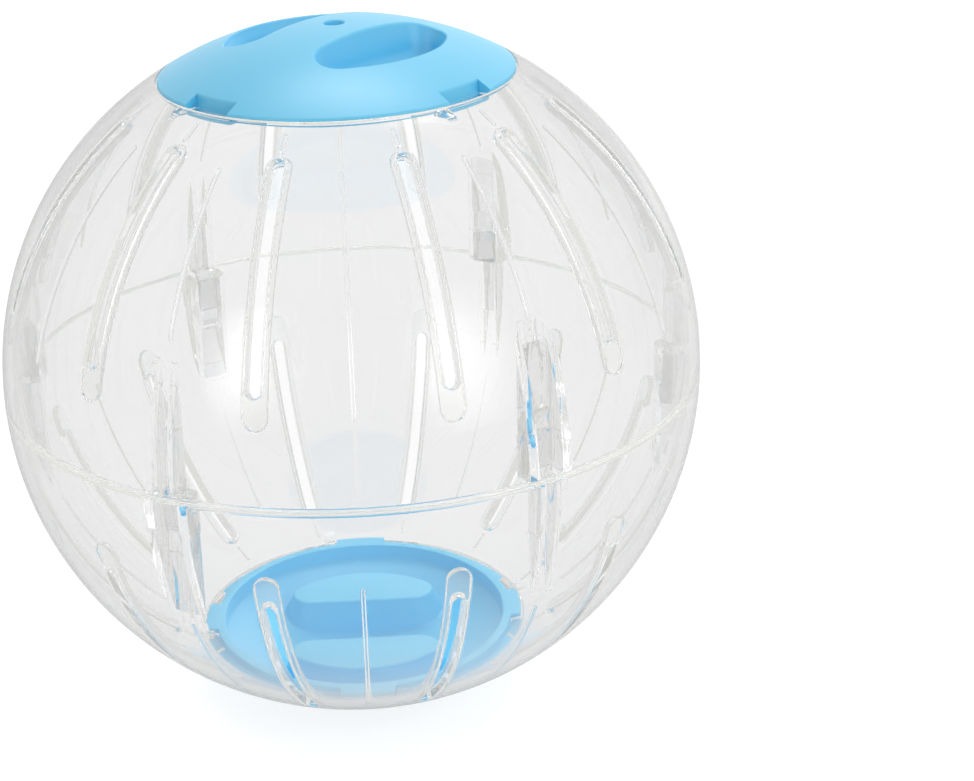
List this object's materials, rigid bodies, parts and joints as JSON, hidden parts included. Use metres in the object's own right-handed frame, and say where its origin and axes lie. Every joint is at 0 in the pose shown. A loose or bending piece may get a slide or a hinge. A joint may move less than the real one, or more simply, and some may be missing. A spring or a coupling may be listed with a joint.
{
  "type": "hamster ball",
  "caption": "Clear hollow exercise ball for a small pet: slotted halves that snap together at the seam, with a turn-to-lock cap and grip bar at each pole.",
  "frame": {"origin": "centre of the ball", "axes": "+Z along the axis through both poles, towards the upper cap; -Y towards the front; +X to the right seen from the front"},
  "size_m": [0.12, 0.12, 0.12],
  "materials": {
    "clear_plastic": "clear moulded plastic, polished",
    "blue_plastic": "opaque moulded plastic, satin gloss"
  },
  "bodies": {
    "lower_half": {"lower_shell": "clear_plastic", "lower_tongues": "clear_plastic"},
    "upper_half": {"upper_shell": "clear_plastic", "upper_tongues": "clear_plastic"},
    "top_cap": {"top_cap": "blue_plastic"},
    "bottom_cap": {"bottom_cap": "blue_plastic"}
  },
  "joints": [
    {"name": "halves_apart", "type": "slide", "parent": "lower_half", "child": "upper_half", "axis": [0, 0, 1], "range_m": [0, 0.07], "deforming": ["upper_tongues", "lower_tongues"]},
    {"name": "top_cap_turn", "type": "hinge", "parent": "upper_half", "child": "top_cap", "pos_m": [0, 0, 0.05], "axis": [0, 0, 1], "range_deg": [0, 45]},
    {"name": "bottom_cap_turn", "type": "hinge", "parent": "lower_half", "child": "bottom_cap", "pos_m": [0, 0, -0.05], "axis": [0, 0, -1], "range_deg": [0, 45]}
  ]
}
